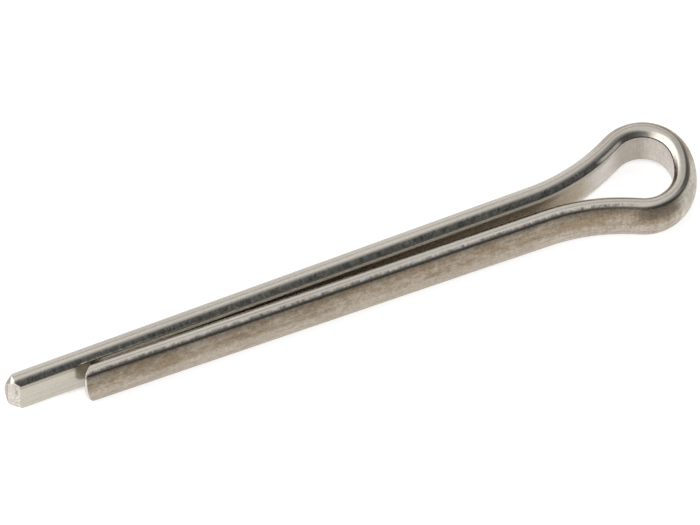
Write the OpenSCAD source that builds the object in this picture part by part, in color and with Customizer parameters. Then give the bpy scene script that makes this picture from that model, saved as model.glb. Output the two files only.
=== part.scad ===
// Cotter pin: one length of half-round wire, bent round into an eye so that the flats of its two
// legs face each other. It lies on its side. +X runs along the shank towards the eye, the long leg
// is on the +Y side, and the origin is at the bottom centre of its box.

/* [Wire] */
// Width of the wire, along its flat
wire_w = 3; // [2.8:0.05:3.2]
// Thickness of the wire, from its flat to the top of its crown
wire_t = 1.31; // [1.2:0.01:1.45]
// Radius of the rounded corners between the bevels and the crown
corner_r = 0.47; // [0.35:0.01:0.52]
// Angle between the flat and the bevel along each of its edges
bevel = 42; // [30:1:50]
// Width of each bevel
bevel_len = 0.22; // [0.1:0.01:0.3]
// Rounding between the flat and each bevel
bevel_r = 0.2; // [0.1:0.01:0.3]

/* [Eye] */
// Radius of the eye, inside
eye_r = 1.68; // [1.5:0.02:2]
// Inside radius of the flatter stretch at the eye's outer end
crown_r = 3.12; // [2.2:0.02:5]
// Angle that the flatter stretch turns through
crown_turn = 28; // [10:1:40]
// Angle by which the flatter stretch leans towards the short leg
crown_lean = 16.4; // [0:0.2:20]
// Distance between the middle of the eye and the middle of the shank
eye_offset = 0.13; // [-0.2:0.01:0.2]

/* [Neck] */
// Angle at which the long leg's side of the eye runs in to the shank
long_neck_angle = 27.5; // [22:0.1:32]
// Angle at which the short leg's side of the eye runs in to the shank
short_neck_angle = 25.8; // [22:0.1:32]
// Length of the straight stretch between the eye and the bend into each leg
neck_len = 0.45; // [0.2:0.05:0.8]

/* [Legs] */
// Overall length, from the eye's outer end to the tip of the long leg
overall_len = 41.66; // [34:0.02:60]
// Length from the eye's outer end to the tip of the short leg
short_len = 37.62; // [29:0.01:40]
// Distance from each leg's flat to the middle of the gap, at that leg's tip
tip_gap = 0.02; // [0.02:0.01:0.2]
// Angle by which each leg leans away from the shank's axis towards the eye
splay = 0.64; // [0.2:0.02:1]

/* [Hidden] */
$fn = 96;
LONG = 1;
SHORT = -1;
// The planes across each leg's end. Each one gives how far the leg runs at a point of its section,
// measured from the end of its flat: at the flat's middle, and per mm out and per mm up.
long_end_cuts = [
    [0, 1.4, 0], // next to the flat
    [0.25, 0.18, 0], // most of the end
    [0.45, 0.01, -0.12], // its upper part
    [1.8, -1.1, -0.45], // the crown's upper corner
    [0.9, 1, 0.86], // the flat's lower corner
];
short_end_cuts = [[0, 0.7, 0.17]];
// How far each leg's tip stands past the end of its flat
long_end_depth = 0.49;
short_end_depth = 0.917;
// The wire is drawn at this fraction of its size, where its stretches meet without a step, and the
// whole pin is scaled up
drawn = 0.01;

// Half of the section, whose flat lies on the Y axis: the centres of the two roundings, the bevel
// between them, and the crown, which is one arc and meets the corner's rounding without a step
to_bevel = [-cos(bevel), sin(bevel)];
corner = [corner_r * cos(bevel) + bevel_len * sin(bevel) + bevel_r * (1 - cos(bevel)),
    wire_w / 2 - corner_r];
flat_half = corner.y + (corner_r - bevel_r) * sin(bevel) - bevel_len * cos(bevel);
bevel_ends = [[bevel_r, flat_half] + bevel_r * to_bevel, corner + corner_r * to_bevel];
crown_rise = wire_t - corner.x;
crown_arc_r = (crown_rise ^ 2 + corner.y ^ 2 - corner_r ^ 2) / (2 * (crown_rise - corner_r));
crown_arc_x = wire_t - crown_arc_r;
crown_angle = atan2(corner.y, corner.x - crown_arc_x);
crown_edge = [crown_arc_x + crown_arc_r * cos(crown_angle), crown_arc_r * sin(crown_angle)];

// How far the flat's line runs as it turns from heading a to heading b
function left_turn(r, a, b) = r * [sin(b) - sin(a), cos(a) - cos(b)];
function right_turn(r, a, b) = r * [sin(a) - sin(b), cos(b) - cos(a)];

// Both sides are worked out on the +Y side, from the middle of the flatter stretch to the tip
function neck_angle(side) = side == LONG ? long_neck_angle : short_neck_angle;
function start_heading(side) = 90 - side * crown_lean;
function crown_end(side) = start_heading(side) + crown_turn / 2;
function neck_heading(side) = 180 + neck_angle(side);
leg_heading = 180 + splay;

function to_crown_end(side) = left_turn(crown_r, start_heading(side), crown_end(side));
function eye_reach(side) = (to_crown_end(side) + left_turn(eye_r, crown_end(side), 180)).y + wire_t;
outer_reach = (to_crown_end(LONG) + left_turn(eye_r, crown_end(LONG), 90)).x + wire_t;
start = [overall_len / 2 - outer_reach, (eye_reach(SHORT) - eye_reach(LONG)) / 2];

// The bend into the leg and the leg's length are what brings the flat to the tip
function neck_end(side) = [start.x, side * start.y] + to_crown_end(side)
    + left_turn(eye_r, crown_end(side), neck_heading(side))
    + neck_len * [cos(neck_heading(side)), sin(neck_heading(side))];
function tip(side) = [
    wire_t * sin(splay) + overall_len / 2 - (side == LONG ? overall_len : short_len),
    tip_gap - side * eye_offset];
function unit_bend(side) = right_turn(1, neck_heading(side), leg_heading);
leg_dir = [cos(leg_heading), sin(leg_heading)];
function bend_r(side) = cross(tip(side) - neck_end(side), leg_dir) / cross(unit_bend(side), leg_dir);
function leg_len(side) = cross(unit_bend(side), tip(side) - neck_end(side))
    / cross(unit_bend(side), leg_dir);

// Half-round section: its flat lies on the Y axis and its crown faces +X
module wire_section() {
    for (s = [-1, 1]) {
        translate(drawn * [corner.x, s * corner.y]) circle(r = drawn * corner_r);
        translate(drawn * [bevel_r, s * flat_half]) circle(r = drawn * bevel_r);
    }
    polygon(drawn * [[0, -flat_half], [bevel_ends[0].x, -bevel_ends[0].y],
        [bevel_ends[1].x, -bevel_ends[1].y], [corner.x, -corner.y], [crown_edge.x, -crown_edge.y],
        crown_edge, corner, bevel_ends[1], bevel_ends[0], [0, flat_half]]);
    intersection() {
        translate(drawn * [crown_arc_x, 0]) circle(r = drawn * crown_arc_r);
        translate(drawn * [crown_edge.x, -crown_edge.y]) square(drawn * [wire_t, 2 * crown_edge.y]);
    }
}

// Each stretch starts at the origin heading for +X, with its flat on the left. What follows it
// is placed at its end.
module straight(len) {
    rotate([90, 0, 90]) linear_extrude(drawn * len) mirror([1, 0]) wire_section();
    translate(drawn * [len, 0]) children();
}

module bend_to_left(r, angle) {
    translate(drawn * [0, r]) rotate(-90) rotate_extrude(angle = angle)
        translate(drawn * [r, 0]) wire_section();
    translate(drawn * r * [sin(angle), 1 - cos(angle)]) rotate(angle) children();
}

module bend_to_right(r, angle) {
    translate(drawn * [0, -r]) rotate(90 - angle) rotate_extrude(angle = angle)
        translate(drawn * [r, 0]) mirror([1, 0]) wire_section();
    translate(drawn * r * [sin(angle), cos(angle) - 1]) rotate(-angle) children();
}

// Takes off what lies past one of the planes across a leg's end
module cut_off(flat_len, plane) {
    block = drawn * 4 * wire_w;
    translate([drawn * (flat_len + plane[0]), 0, 0])
        rotate([0, asin(plane[2] / norm([1, plane[1], plane[2]])), atan(plane[1])])
        translate([0, -block / 2, -block / 2]) cube(block);
}

// The last stretch
module leg(side) {
    cuts = side == LONG ? long_end_cuts : short_end_cuts;
    depth = side == LONG ? long_end_depth : short_end_depth;
    difference() {
        straight(leg_len(side));
        for (plane = cuts) cut_off(leg_len(side) - depth, plane);
    }
}

// From the middle of the flatter stretch round the eye and down to the tip
module half_pin(side) {
    translate(drawn * [start.x, side * start.y])
        rotate(start_heading(side))
        bend_to_left(crown_r, crown_turn / 2)
        bend_to_left(eye_r, neck_heading(side) - crown_end(side))
        straight(neck_len)
        bend_to_right(bend_r(side), neck_angle(side) - splay)
        leg(side);
}

module cotter_pin() {
    color([0.66, 0.64, 0.6]) translate([0, 0, wire_w / 2]) scale(1 / drawn) {
        half_pin(LONG);
        mirror([0, 1]) half_pin(SHORT);
    }
}

cotter_pin();
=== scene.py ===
import math

import bpy
import numpy as np
from mathutils import Matrix, Vector


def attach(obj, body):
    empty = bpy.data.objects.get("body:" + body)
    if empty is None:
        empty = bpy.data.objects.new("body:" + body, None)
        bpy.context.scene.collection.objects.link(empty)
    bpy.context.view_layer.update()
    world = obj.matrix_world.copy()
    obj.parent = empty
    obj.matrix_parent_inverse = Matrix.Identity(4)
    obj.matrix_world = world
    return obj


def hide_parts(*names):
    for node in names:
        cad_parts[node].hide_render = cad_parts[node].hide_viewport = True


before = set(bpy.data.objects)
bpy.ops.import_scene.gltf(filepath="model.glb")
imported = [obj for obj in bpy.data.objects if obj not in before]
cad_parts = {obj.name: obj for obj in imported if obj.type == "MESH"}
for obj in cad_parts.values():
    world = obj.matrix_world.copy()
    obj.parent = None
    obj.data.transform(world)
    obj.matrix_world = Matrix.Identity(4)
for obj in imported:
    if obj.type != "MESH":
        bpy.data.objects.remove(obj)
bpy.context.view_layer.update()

MM = 0.001
LONG, SHORT = 1, -1

# ---------------------------------------------------------------- the wire, in mm, as in the CAD
WIRE_W = 3.0  # along its flat
WIRE_T = 1.31  # from its flat to the top of its crown
CORNER_R = 0.47  # rounding between each bevel and the crown
BEVEL = 42.0  # degrees from the flat to the bevel along each of its edges
BEVEL_LEN = 0.22
BEVEL_R = 0.2  # rounding between the flat and each bevel
EYE_R = 1.68  # inside
CROWN_R = 3.12  # inside radius of the flatter stretch at the eye's outer end
CROWN_TURN = 28.0  # degrees that the flatter stretch turns through
CROWN_LEAN = 16.4  # degrees that it leans towards the short leg
EYE_OFFSET = 0.13  # from the middle of the shank to the middle of the eye
NECK_ANGLE = {LONG: 27.5, SHORT: 25.8}  # degrees at which the eye's sides run in to the shank
NECK_LEN = 0.45  # the straight stretch between the eye and the bend into each leg
OVERALL_LEN = 41.66  # from the eye's outer end to the long leg's tip
SHORT_LEN = 37.62  # from the eye's outer end to the short leg's tip
TIP_GAP = 0.02  # from each leg's flat to the middle of the gap, at that leg's tip
SPLAY = 0.64  # degrees that each leg leans away from the shank's axis towards the eye
# The planes that each leg's end is cut by. Each gives how far the wire runs at a point of the
# section, measured from where the cut meets the flat: at the flat's middle, and per mm out and up.
END_CUTS = {
    LONG: (
        (0.0, 1.40, 0.0),  # next to the flat
        (0.25, 0.18, 0.0),  # most of the end
        (0.45, 0.01, -0.12),  # its upper part
        (1.80, -1.10, -0.45),  # the crown's upper corner
        (0.90, 1.00, 0.86),  # the flat's lower corner
    ),
    SHORT: ((0.0, 0.70, 0.17),),
}
END_DEPTH = {LONG: 0.49, SHORT: 0.917}  # from the flat's end to the tip

# ---------------------------------------------------------------- how finely it is built
SKIN = 0.006  # the visual skin lies this far inside the CAD's surface, in mm
FLAT_STEPS = 16
BEVEL_R_STEPS = 8
BEVEL_STEPS = 4
CORNER_STEPS = 14
CROWN_STEPS = 36
EYE_STEP = 2.0  # degrees from ring to ring round the eye
BEND_STEP = 1.0  # degrees from ring to ring in the bend into each leg
NECK_RINGS = 3
LEG_STEP = 0.35  # mm from ring to ring along the legs
END_STRETCH = 2.4  # the rings turn from square to slanted over this length, in mm
END_RINGS = 10
END_SOFTNESS = {LONG: 0.05, SHORT: 0.02}  # how far the planes blend into each other, in mm
EDGE_R = 0.13  # the cut ends' worn edges, in mm
EDGE_STEPS = 5
CAP_RINGS = 7
CAP_MID = np.array([WIRE_T * 0.48, 0.0])  # the point of the section that the cap's rings close on


def rad(degrees):
    return math.radians(degrees)


def left_turn(r, a, b):
    """How far the flat's line runs as it turns left from heading a to heading b."""
    return r * np.array([math.sin(rad(b)) - math.sin(rad(a)), math.cos(rad(a)) - math.cos(rad(b))])


def right_turn(r, a, b):
    return r * np.array([math.sin(rad(a)) - math.sin(rad(b)), math.cos(rad(b)) - math.cos(rad(a))])


def heading_vector(heading):
    return np.array([math.cos(rad(heading)), math.sin(rad(heading))])


def cross2(a, b):
    return a[0] * b[1] - a[1] * b[0]


def path(side):
    """Stations of the flat's line from the middle of the flatter stretch to the tip, worked out on
    the +Y side: rows of x, y, heading and distance along the wire."""
    start_heading = {s: 90 - s * CROWN_LEAN for s in (LONG, SHORT)}
    crown_end = {s: start_heading[s] + CROWN_TURN / 2 for s in (LONG, SHORT)}
    neck_heading = 180 + NECK_ANGLE[side]
    leg_heading = 180 + SPLAY

    def to_crown_end(s):
        return left_turn(CROWN_R, start_heading[s], crown_end[s])

    def eye_reach(s):
        return (to_crown_end(s) + left_turn(EYE_R, crown_end[s], 180))[1] + WIRE_T

    outer_reach = (to_crown_end(LONG) + left_turn(EYE_R, crown_end[LONG], 90))[0] + WIRE_T
    start = np.array([OVERALL_LEN / 2 - outer_reach, side * (eye_reach(SHORT) - eye_reach(LONG)) / 2])
    neck_end = (
        start
        + to_crown_end(side)
        + left_turn(EYE_R, crown_end[side], neck_heading)
        + NECK_LEN * heading_vector(neck_heading)
    )

    # The bend into the leg and the leg's length are what brings the flat to the tip
    side_len = OVERALL_LEN if side == LONG else SHORT_LEN
    tip_x = WIRE_T * math.sin(rad(SPLAY)) + OVERALL_LEN / 2 - side_len
    to_tip = np.array([tip_x, TIP_GAP - side * EYE_OFFSET]) - neck_end
    leg_dir = heading_vector(leg_heading)
    unit_bend = right_turn(1, neck_heading, leg_heading)
    bend_r = cross2(to_tip, leg_dir) / cross2(unit_bend, leg_dir)
    leg_len = cross2(unit_bend, to_tip) / cross2(unit_bend, leg_dir)

    rows = []
    at, heading, gone = start, start_heading[side], 0.0
    stretches = (
        (left_turn, CROWN_R, CROWN_TURN / 2, EYE_STEP),
        (left_turn, EYE_R, neck_heading - crown_end[side], EYE_STEP),
        (None, NECK_LEN, 0, None),
        (right_turn, bend_r, leg_heading - neck_heading, BEND_STEP),
    )
    for turn, size, angle, step in stretches:
        count = math.ceil(abs(angle) / step) if turn else NECK_RINGS
        length = size * abs(rad(angle)) if turn else size
        for i in range(count + 1):
            share = i / count
            if turn:
                moved = turn(size, heading, heading + angle * share)
            else:
                moved = size * share * heading_vector(heading)
            if i < count:
                rows.append([*(at + moved), heading + angle * share, gone + length * share])
        at = at + moved
        heading += angle
        gone += length
    count = math.ceil(leg_len / LEG_STEP)
    for i in range(count + 1):
        along = leg_len * i / count
        rows.append([*(at + along * leg_dir), heading, gone + along])
    return np.array(rows)


def section():
    """The half-round outline with its outward normals, in (out from the flat, up), starting at the
    middle of the flat and going up, over the crown and back."""
    bevel = rad(BEVEL)
    corner_out = CORNER_R * math.cos(bevel) + BEVEL_LEN * math.sin(bevel) + BEVEL_R * (1 - math.cos(bevel))
    corner_up = WIRE_W / 2 - CORNER_R
    flat_half = corner_up + (CORNER_R - BEVEL_R) * math.sin(bevel) - BEVEL_LEN * math.cos(bevel)
    rise = WIRE_T - corner_out
    crown_arc_r = (rise**2 + corner_up**2 - CORNER_R**2) / (2 * (rise - CORNER_R))
    crown_arc_out = WIRE_T - crown_arc_r
    crown_angle = math.atan2(corner_up, corner_out - crown_arc_out)
    points, normals = [], []

    def arc(centre, r, start, stop, steps):
        for i in range(steps):
            a = start + (stop - start) * i / steps
            normals.append((math.cos(a), math.sin(a)))
            points.append((centre[0] + r * math.cos(a), centre[1] + r * math.sin(a)))

    half_flat = FLAT_STEPS // 2
    for i in range(half_flat):
        points.append((0, flat_half * i / half_flat))
        normals.append((-1, 0))
    arc((BEVEL_R, flat_half), BEVEL_R, math.pi, math.pi - bevel, BEVEL_R_STEPS)
    bevel_from = np.array([BEVEL_R * (1 - math.cos(bevel)), flat_half + BEVEL_R * math.sin(bevel)])
    for i in range(BEVEL_STEPS):
        at = bevel_from + BEVEL_LEN * i / BEVEL_STEPS * np.array([math.sin(bevel), math.cos(bevel)])
        points.append(tuple(at))
        normals.append((-math.cos(bevel), math.sin(bevel)))
    arc((corner_out, corner_up), CORNER_R, math.pi - bevel, crown_angle, CORNER_STEPS)
    arc((crown_arc_out, 0), crown_arc_r, crown_angle, 0, CROWN_STEPS // 2)
    points.append((WIRE_T, 0))
    normals.append((1, 0))
    points, normals = np.array(points), np.array(normals)
    # The lower half mirrors the upper one, without its first and last point
    flip = np.array([1, -1])
    points = np.concatenate([points, points[-2:0:-1] * flip])
    normals = np.concatenate([normals, normals[-2:0:-1] * flip])
    return points - SKIN * normals, normals


def end_station(side, end, shape):
    """How far along the wire its cut end lies, at points of the section."""
    out, up = shape[:, 0], shape[:, 1]
    softness = END_SOFTNESS[side]
    reach = [start + out * per_out + up * per_up for start, per_out, per_up in END_CUTS[side]]
    blend = -softness * np.log(sum(np.exp(-r / softness) for r in reach))
    return end - END_DEPTH[side] + blend


def wire_rings(side, rows):
    """One side's rings from the middle of the flatter stretch to the middle of the cap. Each has
    its points' shape in the section and stations along the wire, and its share of the cut."""
    outline, normals = section()
    end = rows[-1, 3]
    body_end = end - END_STRETCH
    cut_at = end_station(side, end, outline)
    # The two sides share the first ring, which the long one has
    first = 0 if side == LONG else 1
    rings = [(outline, np.full(len(outline), s), 0.0) for s in rows[first:, 3] if s < body_end]
    for i in range(END_RINGS):
        rings.append((outline, body_end + (cut_at - EDGE_R - body_end) * i / END_RINGS, 0.0))
    for i in range(EDGE_STEPS + 1):
        share = i / EDGE_STEPS
        a = math.pi / 2 * share
        shape = outline - normals * EDGE_R * (1 - math.cos(a))
        rings.append((shape, cut_at - EDGE_R * (1 - math.sin(a)), share))
    for i in range(1, CAP_RINGS):
        shape = (outline - normals * EDGE_R - CAP_MID) * (1 - i / CAP_RINGS) + CAP_MID
        rings.append((shape, end_station(side, end, shape), 1.0))
    shape = CAP_MID[None, :]
    rings.append((shape, end_station(side, end, shape), 1.0))
    return rings


def on_wire(side, rows, shape, stations):
    """Where points of the section lie, each at its own station along the wire."""
    x = np.interp(stations, rows[:, 3], rows[:, 0])
    y = np.interp(stations, rows[:, 3], rows[:, 1])
    h = np.radians(np.interp(stations, rows[:, 3], rows[:, 2]))
    # Past the last station the leg runs on straight
    over = np.maximum(stations - rows[-1, 3], 0)
    x = x + over * np.cos(h)
    y = y + over * np.sin(h)
    px = x + shape[:, 0] * np.sin(h)
    py = side * (y - shape[:, 0] * np.cos(h))
    return np.stack([px, py, WIRE_W / 2 + shape[:, 1]], 1)


def faces_between(a, b, size, closed):
    """Faces from the ring that starts at a to the one that starts at b, or to b alone if closed."""
    faces = []
    for j in range(size):
        k = (j + 1) % size
        faces.append((a + j, a + k, b) if closed else (a + j, a + k, b + k, b + j))
    return faces


def wire_mesh():
    """The whole wire as one closed mesh. Each vertex also stores its place on the wire as if it
    were straightened: along it, out from its flat and up, in mm."""
    verts, places, on_cut, faces = [], [], [], []
    first_ring = {}
    for side in (LONG, SHORT):
        rows = path(side)
        rings = wire_rings(side, rows)
        size = len(rings[0][0])
        first_ring[side] = len(verts)
        for shape, stations, cut in rings:
            verts.extend(on_wire(side, rows, shape, stations))
            places.extend(np.stack([side * stations, shape[:, 0], shape[:, 1]], 1))
            on_cut.extend([cut] * len(shape))
        cap_middle = len(verts) - 1
        for a in range(first_ring[side], cap_middle, size):
            new_faces = faces_between(a, a + size, size, a + size == cap_middle)
            faces.extend(new_faces if side == LONG else [face[::-1] for face in new_faces])
    # The short side's first ring joins the long side's, in the flatter stretch
    faces.extend(faces_between(first_ring[SHORT], first_ring[LONG], size, False))
    return np.array(verts), faces, np.array(places), np.array(on_cut)


def build_wire():
    verts, faces, places, on_cut = wire_mesh()
    mesh = bpy.data.meshes.new("pin_wire")
    mesh.from_pydata((verts * MM).tolist(), [], faces)
    mesh.update()
    mesh.shade_smooth()
    place = mesh.attributes.new("wire_place", "FLOAT_VECTOR", "POINT")
    place.data.foreach_set("vector", places.astype(np.float32).ravel())
    cut = mesh.attributes.new("wire_cut", "FLOAT", "POINT")
    cut.data.foreach_set("value", on_cut.astype(np.float32))
    piece = bpy.data.objects.new("pin_wire", mesh)
    bpy.context.scene.collection.objects.link(piece)
    return piece


# ---------------------------------------------------------------- the steel
# Ramps, each 0 at its first number and 1 at its second. They lie on the straightened wire, in mm:
# along it from the middle of the flatter stretch, negative on the short leg's side, out from its
# flat and up from its middle. Where a mask has two ramps, it lies between them.
GAP_END = 37.5  # where the long leg's flat comes out from behind the short leg
FLAT_OUT = (0.06, 0.02)
BEVEL_OUT = (0.34, 0.20)
CROWN_OUT = (0.87, 0.96)
EDGE_LINE_OUT = ((0.80, 0.87), (0.955, 0.90))  # a painted dark reflection where the crown meets the rounded corners
EYE_ALONG = (9.5, 5.5)  # the eye and most of the bends into the legs
LOOP_ALONG = (6.5, 4.5)  # the eye alone
EXPOSED_ALONG = (GAP_END - 0.8, GAP_END + 0.2)  # the long leg past the short one
# The matt strips along the flats' edges, painted pale as a highlight
STRIP_UP = ((0.74, 0.84), (1.13, 1.06))
STRIP_ALONG = (4.4, 5.6)
STREAK_OUT = ((0.02, 0.05), (0.20, 0.13))
STREAK_ALONG = ((3.9, 4.4), (6.2, 5.6))
UPPER_EDGE_UP = (0.72, 0.90)
# A painted dark reflection along the flats' outer edges, where the dark band on the bevels starts
RIM_UP = (1.07, 1.12)
# A painted highlight on the top of the long leg's end, with painted shade at its corner next to the crown
END_TOP_UP = (1.64, 1.76)
END_TOP_FALL = 1.4  # how much lower it starts per mm out
END_TOP_ALONG = (0.0, 1.0)
DARK_CORNER_OUT = (0.54, 0.64)
WORN_CUT = ((0.0, 0.25), (0.95, 0.70))  # a painted highlight, on the edges' share of the cut
# Painted shade on the flats in the gap between the legs
BETWEEN_ALONG = ((5.9, 7.8), (GAP_END, GAP_END - 0.5))
# A painted dark reflection of the short leg's end on the long leg's flat
TIP_STAIN_ALONG = ((36.0, 37.0), (GAP_END + 1.16, GAP_END + 0.94))
TIP_STAIN_UP = (-0.46, -0.24)
TIP_STAIN_ROUND_UP = (0.10, -0.42)  # it narrows over this height
TIP_STAIN_ROUND = 0.3  # by this much
# A painted dark reflection on the flat inside the eye
STAIN_ALONG = ((2.1, 3.1), (5.4, 4.2))
SHOULDER_OUT = (0.60, 0.80)
SHOULDER_ALONG = (-1.5, 0.5)
SCUFF_ALONG = -2.6
SCUFF_REACH = (1.1, 0.4)
SCUFF_UP = (0.45, 0.75)
CLEAN_ALONG = -0.85
CLEAN_REACH = (1.5, 0.75)
# The tarnish is deepened by painted shade on the crown's upper half
TARNISH_UP = (0.0, 0.5)
TARNISH_ALONG = (3.5, 8.0)
RUBBED_OUT = ((0.62, 0.74), (0.86, 0.80))
RUBBED_ALONG = (-3.0, -5.0)

# How strong each mark gets
UPPER_EDGE_MOST = 0.7
WORN_MOST = 0.8
STAIN_MOST = 0.75
TIP_STAIN_MOST = 0.9
EDGE_LINE_MOST = 0.6
SHOULDER_MOST = 0.9
SCUFF_MOST = 0.9
CLEAN_MOST = 0.85
RUBBED_MOST = 0.8
RUBBED_DARKER = 0.35  # its flecks lean this far towards dark
TARNISH_REST = 0.05  # off the crown
TARNISH_LOW = 0.45  # on the crown's lower half, with the upper half at 1: the upper half's extra depth is painted shade
TARNISH_CLOUD = (0.42, 0.92)
TARNISH_BLOTCH = 0.35
TARNISH_LONG_LEG = 0.25  # the long leg is less tarnished

# Noise: its stretch along, out and up, its detail and its roughness
CLOUD = ((0.45, 1.1, 1.1), 4.0, 0.6)
BLOTCH = ((2.2, 3.4, 3.4), 3.0, 0.65)
SPECKLE = ((6.5, 9.0, 9.0), 2.0, 0.6)
LINES = ((0.07, 8.0, 8.0), 2.0, 0.6)
ACROSS = ((7.0, 0.9, 0.9), 3.0, 0.65)
NICKS = ((4.0, 2.2, 2.2), 4.0, 0.75)
SHEAR_TOWARD = (0.0, 0.747, 0.665)  # the shear marks on the cut ends lie across this
SHEAR_SCALE = 4.5
SHEAR_DETAIL = 2.0
# The part of a noise's range that is used
USED = (0.30, 0.70)
USED_SPECKLE = (0.32, 0.68)
USED_ACROSS = (0.32, 0.68)
USED_NICKS = (0.35, 0.65)

# How much the noise lightens and darkens the colour
SWING = 0.5  # what the speckle, nicks and streaks swing by each way of 0, before their shares
MOTTLE = 0.12
MOTTLE_CROWN = 0.42
NICKED = 0.9  # on the bevels
NICKED_LOOP = 0.15  # on the bevels round the eye
STREAKS = 0.30
STREAKS_FLAT = 0.6  # on the flat, as a share of those on the crown
GRAIN = 0.11
SCORED = 0.12

# Painted in this order, under the noise and over it
CORNER_COLOR = (0.61, 0.573, 0.52, 1)
COLORS_UNDER = {
    "flat": (0.535, 0.50, 0.43, 1),
    "crown": (0.56, 0.505, 0.435, 1),
    "clean_crown": (0.61, 0.575, 0.505, 1),
    "eye_flat": (0.585, 0.535, 0.49, 1),
    "upper_edge": (0.33, 0.29, 0.22, 1),
    # painted shade in the gap between the legs' flats
    "between": (0.37, 0.305, 0.22, 1),
    # a painted dark reflection on the flat inside the eye
    "stain": (0.34, 0.295, 0.245, 1),
    # the painted dark reflection of the short leg's end on the long leg's flat
    "tip_stain": (0.19, 0.16, 0.115, 1),
    # brown tarnish, deepened by painted shade on the crown's upper half
    "tarnish": (0.325, 0.255, 0.18, 1),
    "scuff": (0.20, 0.165, 0.125, 1),
}
COLORS_OVER = {
    # a painted dark reflection where the crown meets the rounded corners
    "edge_line": (0.13, 0.113, 0.09, 1),
    # painted dark reflection along the flats' outer edges
    "rim": (0.15, 0.14, 0.125, 1),
    # pale matt strips and a streak, painted as highlights
    "strip": (0.93, 0.90, 0.84, 1),
    # a painted highlight on the cut ends' edges next to the crown
    "worn": (0.86, 0.84, 0.80, 1),
    # a painted highlight on the top of the long leg's end
    "end_top": (0.93, 0.90, 0.86, 1),
    # painted shade on the corner of the long leg's end next to the crown
    "dark_corner": (0.30, 0.275, 0.245, 1),
}

CORNER_ROUGH = 0.15
ROUGH = {"flat": 0.27, "strip": 0.85, "crown": 0.48, "cut": 0.40}  # in this order
ROUGH_BLOTCH = (-0.03, 0.05)
ROUGH_SPECKLE = (-0.03, 0.04)

BUMP_DISTANCE = 0.000006  # in metres, for a height of 1
LINES_HEIGHT = 0.6
SPECKLE_HEIGHT = 0.35
SPECKLE_HEIGHT_LOOP = 0.12
SPECKLE_HEIGHT_CROWN = 1.1
ACROSS_HEIGHT = 0.12
ACROSS_HEIGHT_CROWN = 0.5
SHEAR_HEIGHT = 3.0


class Nodes:
    """Short ways to add and link shader nodes."""

    def __init__(self, tree):
        self.tree = tree
        tree.nodes.clear()

    def add(self, kind, inputs=None, **settings):
        node = self.tree.nodes.new("ShaderNode" + kind)
        for name, value in settings.items():
            setattr(node, name, value)
        for name, value in (inputs or {}).items():
            self.set(node, name, value)
        return node

    def set(self, node, name, value):
        socket = node.inputs[name]
        if isinstance(value, bpy.types.NodeSocket):
            self.tree.links.new(value, socket)
        else:
            socket.default_value = value

    def math(self, operation, a, b=0.0, clamp=False):
        node = self.add("Math", {0: a, 1: b}, operation=operation, use_clamp=clamp)
        return node.outputs[0]

    def product(self, first, *rest):
        for value in rest:
            first = self.math("MULTIPLY", first, value)
        return first

    def total(self, first, *rest):
        for value in rest:
            first = self.math("ADD", first, value)
        return first

    def larger(self, a, b):
        return self.math("MAXIMUM", a, b)

    def size(self, value):
        return self.math("ABSOLUTE", value)

    def distance(self, value, middle):
        return self.size(self.math("SUBTRACT", value, middle))

    def rest(self, value):
        """What a mask leaves out."""
        return self.math("SUBTRACT", 1.0, value)

    def vector_math(self, operation, a, b):
        node = self.add("VectorMath", {0: a, 1: b}, operation=operation)
        return node.outputs["Value" if operation == "DOT_PRODUCT" else "Vector"]

    def remap(self, value, span, to=(0.0, 1.0), kind="SMOOTHSTEP"):
        node = self.add(
            "MapRange",
            {"Value": value, "From Min": span[0], "From Max": span[1], "To Min": to[0], "To Max": to[1]},
            interpolation_type=kind,
        )
        return node.outputs["Result"]

    def between(self, value, spans, most=1.0):
        """A mask between two ramps."""
        return self.product(self.remap(value, spans[0]), self.remap(value, spans[1], (0.0, most)))

    def spread(self, noise, span, most):
        """A noise's used range, spread evenly over most each way of 0."""
        return self.remap(noise, span, (-most, most), "LINEAR")

    def noise(self, place, stretch, detail, roughness):
        """Noise on coordinates stretched by a vector."""
        vector = self.vector_math("MULTIPLY", place, stretch)
        node = self.add(
            "TexNoise", {"Vector": vector, "Scale": 1.0, "Detail": detail, "Roughness": roughness}
        )
        return node.outputs["Fac"]

    def mix_color(self, share, a, b):
        node = self.add("Mix", data_type="RGBA")
        self.set(node, 0, share)
        self.set(node, 6, a)
        self.set(node, 7, b)
        return node.outputs[2]

    def mix_value(self, share, a, b):
        node = self.add("Mix", {0: share, 2: a, 3: b}, data_type="FLOAT")
        return node.outputs[0]


def steel_noises(n, place):
    kinds = {"cloud": CLOUD, "blotch": BLOTCH, "speckle": SPECKLE, "lines": LINES, "across": ACROSS}
    noises = {name: n.noise(place, *kind) for name, kind in kinds.items()}
    noises["nicks"] = n.spread(n.noise(place, *NICKS), USED_NICKS, SWING)
    shear_at = n.vector_math("DOT_PRODUCT", place, SHEAR_TOWARD)
    shear = {"W": shear_at, "Scale": SHEAR_SCALE, "Detail": SHEAR_DETAIL}
    noises["shear"] = n.add("TexNoise", shear, noise_dimensions="1D").outputs["Fac"]
    return noises


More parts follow.
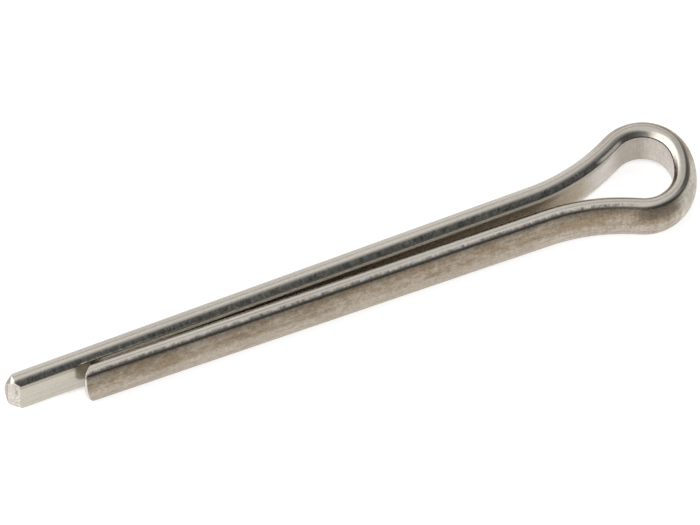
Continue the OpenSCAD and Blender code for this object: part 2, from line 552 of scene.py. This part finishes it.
def section_masks(n, along, out, up, cut):
    """Masks for where on the section and how far along the wire a point lies."""
    m = {"cut": cut}
    far = n.size(along)
    m["flat"] = n.remap(out, FLAT_OUT)
    m["crown"] = n.remap(out, CROWN_OUT)
    m["bevel"] = n.product(n.remap(out, BEVEL_OUT), n.rest(m["flat"]))
    m["eye"] = n.remap(far, EYE_ALONG)
    m["loop"] = n.remap(far, LOOP_ALONG)
    m["exposed"] = n.remap(along, EXPOSED_ALONG)
    # A dark line painted where the crown meets the rounded corners, a painted reflection
    m["edge_line"] = n.product(n.between(out, EDGE_LINE_OUT), EDGE_LINE_MOST)
    # A dark line painted along each flat's outer edges, a painted reflection
    m["rim"] = n.product(m["flat"], n.remap(n.size(up), RIM_UP))
    m["eye_flat"] = n.product(m["flat"], m["eye"])
    m["upper_edge"] = n.remap(up, UPPER_EDGE_UP, (0.0, UPPER_EDGE_MOST))
    m["upper_edge"] = n.product(m["flat"], m["exposed"], m["upper_edge"])
    # The matt strips along the flat's edges, painted pale as a highlight, and a painted highlight streak on
    # the bevel of the long leg's neck
    strip = n.product(m["flat"], n.between(n.size(up), STRIP_UP))
    strip = n.product(strip, n.remap(far, STRIP_ALONG), n.rest(m["exposed"]))
    streak = n.product(n.between(out, STREAK_OUT), n.between(along, STREAK_ALONG))
    m["strip"] = n.larger(strip, streak)
    # The top of the long leg's end: a painted highlight next to the flat, painted shade next to the crown
    end_top = n.remap(n.total(up, n.product(out, END_TOP_FALL)), END_TOP_UP)
    m["end_top"] = n.product(end_top, cut, n.remap(along, END_TOP_ALONG))
    m["dark_corner"] = n.product(m["end_top"], n.remap(out, DARK_CORNER_OUT))
    # The cut ends' edges next to the crown, with a painted highlight
    m["worn"] = n.product(n.between(cut, WORN_CUT), m["crown"], WORN_MOST)
    return m


def add_stain_masks(n, m, noises, along, out, up):
    """Adds masks for brown patina deepened by painted shade, painted shade between the flats, painted
    reflections, a scuff and the clean outer end of the eye.
    """
    # Painted shade on the flats where they lie close together, in the gap between the legs
    m["between"] = n.product(n.between(n.size(along), BETWEEN_ALONG), m["flat"])
    # Beside the short leg's tip: a painted reflection of its cut end on the long leg's flat
    narrowed = n.total(along, n.remap(up, TIP_STAIN_ROUND_UP, (0.0, TIP_STAIN_ROUND)))
    tip_stain = n.product(n.remap(narrowed, TIP_STAIN_ALONG[1]), n.remap(along, TIP_STAIN_ALONG[0]))
    m["tip_stain"] = n.product(tip_stain, m["flat"], n.remap(up, TIP_STAIN_UP), TIP_STAIN_MOST)
    # Inside the eye: a darker patch on the flat, a painted reflection
    m["stain"] = n.product(n.between(along, STAIN_ALONG), m["flat"], STAIN_MOST)
    # On the eye's upper side
    scuff = n.remap(n.distance(along, SCUFF_ALONG), SCUFF_REACH, (0.0, SCUFF_MOST))
    m["scuff"] = n.product(scuff, m["crown"], n.remap(up, SCUFF_UP))
    # The eye's outer end is worn clean
    clean = n.remap(n.distance(along, CLEAN_ALONG), CLEAN_REACH, (0.0, CLEAN_MOST))
    m["clean_crown"] = n.product(m["crown"], clean)
    # Brown tarnish, mostly on the crown's upper side, where painted shade deepens it
    shoulder = n.product(n.remap(out, SHOULDER_OUT, (0.0, SHOULDER_MOST)), m["loop"])
    shoulder = n.product(shoulder, n.remap(along, SHOULDER_ALONG))
    off_crown = n.total(shoulder, TARNISH_REST)
    cover = n.mix_value(m["crown"], off_crown, n.remap(up, TARNISH_UP, (TARNISH_LOW, 1.0)))
    patch = n.total(
        n.remap(noises["cloud"], USED, TARNISH_CLOUD),
        n.remap(noises["blotch"], USED, (0.0, TARNISH_BLOTCH)),
    )
    patch = n.product(patch, n.remap(along, TARNISH_ALONG, (1.0, TARNISH_LONG_LEG)), n.rest(clean))
    m["tarnish"] = n.math("MULTIPLY", patch, cover, clamp=True)


def noise_shade(n, m, noises, along, out):
    """What the noise makes of the colour, as a factor."""
    speckle = n.spread(noises["speckle"], USED_SPECKLE, SWING)
    speckle = n.product(speckle, n.mix_value(m["crown"], MOTTLE, MOTTLE_CROWN))
    nicked = n.product(m["bevel"], n.mix_value(m["loop"], NICKED, NICKED_LOOP), noises["nicks"])
    # More of them along the short leg's rounded corners
    rubbed = n.product(n.between(out, RUBBED_OUT, RUBBED_MOST), n.remap(along, RUBBED_ALONG))
    rubbed = n.product(rubbed, n.math("SUBTRACT", noises["nicks"], RUBBED_DARKER))
    # Streaks across the wire where it was bent round into the eye
    streaked = n.product(m["eye"], n.larger(n.product(m["flat"], STREAKS_FLAT), m["crown"]))
    streaks = n.product(n.spread(noises["across"], USED_ACROSS, SWING), streaked, STREAKS)
    grain = n.spread(noises["lines"], USED, GRAIN)
    scored = n.product(m["cut"], n.spread(noises["shear"], USED, SCORED))
    return n.total(speckle, nicked, rubbed, grain, scored, streaks, 1.0)


def steel_color(n, m, noises, along, out):
    color = CORNER_COLOR
    for name, paint in COLORS_UNDER.items():
        color = n.mix_color(m[name], color, paint)
    shade = noise_shade(n, m, noises, along, out)
    color = n.vector_math("MULTIPLY", color, n.add("CombineXYZ", {0: shade, 1: shade, 2: shade}).outputs[0])
    for name, paint in COLORS_OVER.items():
        color = n.mix_color(m[name], color, paint)
    return color


def steel_roughness(n, m, noises):
    rough = CORNER_ROUGH
    for name, value in ROUGH.items():
        rough = n.mix_value(m[name], rough, value)
    return n.total(
        rough,
        n.remap(noises["blotch"], USED, ROUGH_BLOTCH),
        n.remap(noises["speckle"], USED, ROUGH_SPECKLE),
    )


def steel_bump(n, m, noises):
    off_crown = n.mix_value(m["loop"], SPECKLE_HEIGHT, SPECKLE_HEIGHT_LOOP)
    height = n.total(
        n.product(noises["lines"], LINES_HEIGHT),
        n.product(noises["speckle"], n.mix_value(m["crown"], off_crown, SPECKLE_HEIGHT_CROWN)),
        n.product(noises["across"], n.mix_value(m["crown"], ACROSS_HEIGHT, ACROSS_HEIGHT_CROWN)),
        n.product(noises["shear"], n.product(m["cut"], SHEAR_HEIGHT)),
    )
    bump = n.add("Bump", {"Strength": 1.0, "Distance": BUMP_DISTANCE, "Height": height})
    return bump.outputs["Normal"]


def steel_material():
    material = bpy.data.materials.new("satin_stainless")
    material.use_nodes = True
    n = Nodes(material.node_tree)
    place = n.add("Attribute", attribute_type="GEOMETRY", attribute_name="wire_place").outputs["Vector"]
    cut = n.add("Attribute", attribute_type="GEOMETRY", attribute_name="wire_cut").outputs["Fac"]
    axes = n.add("SeparateXYZ", {"Vector": place}).outputs
    along, out, up = axes["X"], axes["Y"], axes["Z"]

    noises = steel_noises(n, place)
    masks = section_masks(n, along, out, up, cut)
    add_stain_masks(n, masks, noises, along, out, up)
    shader = n.add(
        "BsdfPrincipled",
        {
            "Base Color": steel_color(n, masks, noises, along, out),
            "Metallic": 1.0,
            "Roughness": steel_roughness(n, masks, noises),
            "Normal": steel_bump(n, masks, noises),
        },
    )
    n.add("OutputMaterial", {"Surface": shader.outputs["BSDF"]})
    return material


# ---------------------------------------------------------------- the studio
FLOOR_HALF = 4.0  # in metres
FLOOR_COLOR = (0.5, 0.5, 0.5, 1)
FLOOR_LIFT = 0.80  # what the floor adds to itself where it is seen, up to white
FLOOR_SHADE_REACH = 0.004  # in metres
FLOOR_SHADE_SAMPLES = 8
FLOOR_SHADE = (0.02, 0.20)  # nothing is added in the narrow gaps that no light reaches

# The world's colours, each painted over the ones before it. A cap is an azimuth, an elevation, and
# how many degrees from there it is full and how many degrees from there it ends.
DARK_SIDE_COLOR = (0.078, 0.086, 0.09, 1)
FIRST_CAPS = (
    ((112, 1, 110, 177), (0.41, 0.41, 0.405, 1)),  # the room, away from its dark side
    ((133, 46, 52, 82), (0.90, 0.895, 0.88, 1)),  # a soft light above and behind
)
LINE_TILT = 33  # degrees from straight overhead towards +Y
LINE_WIDTH = (0.26, 0.08)  # a dim line overhead, along X
LINE_MOST = 0.5
LINE_COLOR = (0.40, 0.40, 0.40, 1)
LAST_CAPS = (
    ((8, 34, 6, 32), (0.12, 0.115, 0.11, 1)),  # something dark to the right
    ((172, 12, 14, 61), (2.2, 2.17, 2.13, 1)),  # a bright window to the left
)
WALL_CAP = (208, 0, 22, 48)  # the dark wall below the window
WALL_TOP = (0.32, 0.12)
WALL_COLOR = (0.22, 0.21, 0.20, 1)


def build_floor():
    f = FLOOR_HALF
    mesh = bpy.data.meshes.new("floor")
    mesh.from_pydata([(-f, -f, 0), (f, -f, 0), (f, f, 0), (-f, f, 0)], [], [(0, 1, 2, 3)])
    floor = bpy.data.objects.new("floor", mesh)
    bpy.context.scene.collection.objects.link(floor)
    material = bpy.data.materials.new("pale_floor")
    material.use_nodes = True
    n = Nodes(material.node_tree)
    light_path = n.add("LightPath").outputs
    seen = n.larger(light_path["Is Camera Ray"], light_path["Is Glossy Ray"])
    seen = n.larger(seen, light_path["Is Transmission Ray"])
    shade = n.add("AmbientOcclusion", {"Distance": FLOOR_SHADE_REACH}, samples=FLOOR_SHADE_SAMPLES)
    lift = n.product(seen, n.remap(shade.outputs["AO"], FLOOR_SHADE), FLOOR_LIFT)
    matte = n.add("BsdfDiffuse", {"Color": FLOOR_COLOR}).outputs["BSDF"]
    glow = n.add("Emission", {"Color": (1, 1, 1, 1), "Strength": lift}).outputs["Emission"]
    both = n.add("AddShader", {0: matte, 1: glow}).outputs["Shader"]
    n.add("OutputMaterial", {"Surface": both})
    mesh.materials.append(material)


def direction(azimuth, elevation):
    """Unit vector; azimuth 0 is +X and 90 is +Y."""
    a, e = rad(azimuth), rad(elevation)
    return (math.cos(e) * math.cos(a), math.cos(e) * math.sin(a), math.sin(e))


def build_world():
    world = bpy.data.worlds.new("studio")
    world.use_nodes = True
    bpy.context.scene.world = world
    n = Nodes(world.node_tree)
    toward = n.add("TexCoord").outputs["Generated"]

    def cap(azimuth, elevation, full, nothing):
        near = n.vector_math("DOT_PRODUCT", toward, direction(azimuth, elevation))
        return n.remap(near, (math.cos(rad(nothing)), math.cos(rad(full))))

    color = DARK_SIDE_COLOR
    for place, paint in FIRST_CAPS:
        color = n.mix_color(cap(*place), color, paint)
    aside = n.size(n.vector_math("DOT_PRODUCT", toward, direction(90, -LINE_TILT)))
    color = n.mix_color(n.remap(aside, LINE_WIDTH, (0.0, LINE_MOST)), color, LINE_COLOR)
    for place, paint in LAST_CAPS:
        color = n.mix_color(cap(*place), color, paint)
    height = n.add("SeparateXYZ", {"Vector": toward}).outputs["Z"]
    color = n.mix_color(n.product(n.remap(height, WALL_TOP), cap(*WALL_CAP)), color, WALL_COLOR)
    background = n.add("Background", {"Color": color, "Strength": 1.0})
    n.add("OutputWorld", {"Surface": background.outputs["Background"]})


# ---------------------------------------------------------------- the camera
VIEW_AZIMUTH = -22.67  # degrees from straight in front, less than 0 to the left
VIEW_ELEVATION = 56.98
VIEW_CENTRE = (0.127, 0.795, 2.091)  # mm, the point in the middle of the picture
VIEW_DISTANCE = 1126.2  # mm
LENS = 1028.6  # mm
SENSOR = 36.0  # mm
CLIP = (0.05, 50)  # metres


def build_camera():
    a, e = rad(VIEW_AZIMUTH), rad(VIEW_ELEVATION)
    back = Vector((math.sin(a) * math.cos(e), -math.cos(a) * math.cos(e), math.sin(e)))
    right = Vector((math.cos(a), math.sin(a), 0))
    up = back.cross(right)
    data = bpy.data.cameras.new("camera")
    data.lens = LENS
    data.sensor_width = SENSOR
    data.clip_start, data.clip_end = CLIP
    camera = bpy.data.objects.new("camera", data)
    bpy.context.scene.collection.objects.link(camera)
    turn = Matrix((right, up, back)).transposed().to_4x4()
    camera.matrix_world = Matrix.Translation((Vector(VIEW_CENTRE) + back * VIEW_DISTANCE) * MM) @ turn
    bpy.context.scene.camera = camera


build_camera()
build_floor()
build_world()

wire = build_wire()
wire.data.materials.append(steel_material())
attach(wire, "root")
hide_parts("cotter_pin")

scene = bpy.context.scene
scene.view_settings.view_transform = "Standard"
